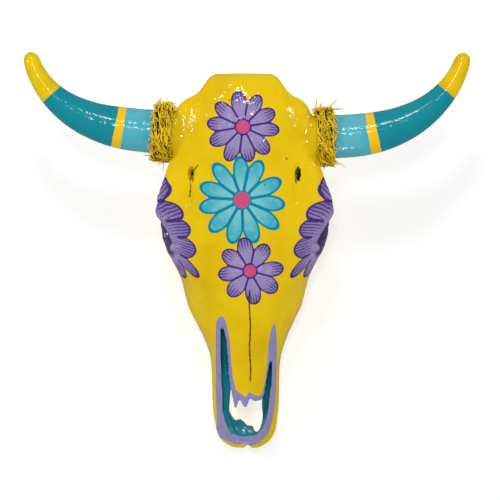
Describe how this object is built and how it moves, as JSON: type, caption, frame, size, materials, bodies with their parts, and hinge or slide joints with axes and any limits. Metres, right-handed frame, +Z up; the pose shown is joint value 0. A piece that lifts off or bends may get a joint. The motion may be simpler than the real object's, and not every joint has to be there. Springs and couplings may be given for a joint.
{
  "type": "painted steer skull",
  "caption": "Painted steer skull without its lower jaw, lying face up, with curved horns, straw rope bound round the horn bases and painted daisies on the face.",
  "frame": {"origin": "on the floor, under the middle of the whole skull with its horns", "axes": "+Z up out of the face, +Y towards the poll, -Y towards the muzzle, +X to the animal's own left"},
  "size_m": [0.5668, 0.518, 0.1983],
  "materials": {
    "painted_bone": "yellow gloss paint on bone, with daisies",
    "painted_horn": "teal, light blue and yellow gloss paint on horn",
    "straw_rope": "yellow-painted straw, rough"
  },
  "bodies": {
    "root": {"cranium": "painted_bone", "cheekbone_left": "painted_bone", "cheekbone_right": "painted_bone", "maxilla_left": "painted_bone", "maxilla_right": "painted_bone", "premaxilla_left": "painted_bone", "premaxilla_right": "painted_bone", "nasal_bone_left": "painted_bone", "nasal_bone_right": "painted_bone", "horn_left": "painted_horn", "horn_right": "painted_horn", "horn_wrap_left": "straw_rope", "horn_wrap_right": "straw_rope"}
  },
  "joints": []
}
